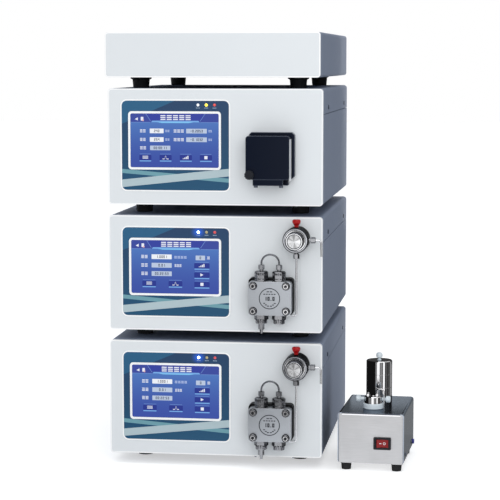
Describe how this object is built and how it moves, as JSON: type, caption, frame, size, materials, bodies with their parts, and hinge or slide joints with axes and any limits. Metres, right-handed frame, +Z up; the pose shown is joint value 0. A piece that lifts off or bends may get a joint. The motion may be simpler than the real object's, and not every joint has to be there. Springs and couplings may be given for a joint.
{
  "type": "liquid chromatography system",
  "caption": "Stacked binary gradient liquid chromatograph: pump units with touch screens and steel pump heads, a UV detector, a solvent tray and a separate mixing chamber.",
  "frame": {"origin": "centre of the whole part's footprint, on the bench under the feet", "axes": "+Z up, +Y from the front panels to the back, +X to the right as seen from the front, towards the mixer"},
  "size_m": [0.3704, 0.425, 0.5253],
  "materials": {
    "panel_white": "satin light grey powder coat",
    "case_blue": "fine slate grey powder coat",
    "satin_steel": "fine satin stainless steel",
    "bright_steel": "polished stainless steel",
    "dark_screw": "blackened",
    "black_gloss": "gloss black",
    "black_plastic": "satin black",
    "rubber_black": "matt black",
    "overlay_film": "printed film in navy and teal",
    "screen_glass": "lit display behind a clear face",
    "lamp_lens": "clear lenses, lit from behind",
    "red_plastic": "gloss red",
    "white_plastic": "smooth white",
    "drive_metal": "cast and machined",
    "jack_plastic": "blue"
  },
  "bodies": {
    "base": {"lower_pump_panel": "panel_white", "lower_pump_chassis": "case_blue", "lower_pump_cover": "case_blue", "lower_pump_overlay": "overlay_film", "lower_pump_screen": "screen_glass", "lower_head_mount": "black_plastic", "lower_pump_head": "satin_steel", "lower_valve_body": "satin_steel", "lower_pump_drive": "drive_metal", "upper_pump_panel": "panel_white", "upper_pump_chassis": "case_blue", "upper_pump_cover": "case_blue", "upper_pump_overlay": "overlay_film", "upper_pump_screen": "screen_glass", "upper_head_mount": "black_plastic", "upper_pump_head": "satin_steel", "upper_valve_body": "satin_steel", "upper_pump_drive": "drive_metal", "detector_panel": "panel_white", "detector_chassis": "case_blue", "detector_cover": "case_blue", "detector_overlay": "overlay_film", "detector_screen": "screen_glass", "detector_bench": "drive_metal", "cell_base": "black_gloss", "cell_cover": "black_gloss", "cell_screws": "dark_screw", "tray_front": "panel_white", "tray_pan": "case_blue", "stack_feet": "rubber_black", "cover_screws": "dark_screw", "screen_frames": "satin_steel", "status_lights": "lamp_lens", "power_inlets": "black_plastic", "check_valves": "satin_steel", "inlet_fittings": "satin_steel", "head_screws": "satin_steel", "loop_tubes": "satin_steel", "link_tubes": "satin_steel", "outlet_tubes": "satin_steel", "tube_nuts": "satin_steel", "valve_caps": "satin_steel", "mixer_case": "bright_steel", "mixer_base": "satin_steel", "mixer_feet": "rubber_black", "mixer_can": "bright_steel", "mixer_can_plug": "white_plastic", "mixer_chamber": "bright_steel", "mixer_collar": "white_plastic", "mixer_ports": "white_plastic", "mixer_tube": "satin_steel", "mixer_bezel": "black_plastic", "mixer_jack": "jack_plastic"},
    "lower_purge_knob": {"lower_valve_knob": "red_plastic"},
    "upper_purge_knob": {"upper_valve_knob": "red_plastic"},
    "cell_lock_knob": {"cell_lock": "black_gloss"},
    "mixer_switch_rocker": {"mixer_rocker": "red_plastic"},
    "lower_switch_rocker": {"lower_pump_switch": "black_plastic"},
    "upper_switch_rocker": {"upper_pump_switch": "black_plastic"},
    "detector_switch_rocker": {"detector_switch": "black_plastic"}
  },
  "joints": [
    {"name": "lower_purge_turn", "type": "hinge", "parent": "base", "child": "lower_purge_knob", "pos_m": [0.04865, -0.186, 0.1418], "axis": [0, 0, 1], "range_deg": [0, 180]},
    {"name": "upper_purge_turn", "type": "hinge", "parent": "base", "child": "upper_purge_knob", "pos_m": [0.04865, -0.186, 0.2945], "axis": [0, 0, 1], "range_deg": [0, 180]},
    {"name": "cell_lock_turn", "type": "hinge", "parent": "base", "child": "cell_lock_knob", "pos_m": [-0.00565, -0.2005, 0.3573], "axis": [0, -1, 0], "range_deg": [0, 90]},
    {"name": "mixer_switch_rock", "type": "hinge", "parent": "base", "child": "mixer_switch_rocker", "pos_m": [0.15159, -0.17282, 0.0342], "axis": [0, 0, 1], "range_deg": [-14, 0]},
    {"name": "lower_switch_rock", "type": "hinge", "parent": "base", "child": "lower_switch_rocker", "pos_m": [-0.13165, 0.1713, 0.0832], "axis": [0, 0, 1], "range_deg": [0, 14]},
    {"name": "upper_switch_rock", "type": "hinge", "parent": "base", "child": "upper_switch_rocker", "pos_m": [-0.13165, 0.1713, 0.2359], "axis": [0, 0, 1], "range_deg": [0, 14]},
    {"name": "detector_switch_rock", "type": "hinge", "parent": "base", "child": "detector_switch_rocker", "pos_m": [-0.13165, 0.1713, 0.3886], "axis": [0, 0, 1], "range_deg": [0, 14]}
  ]
}
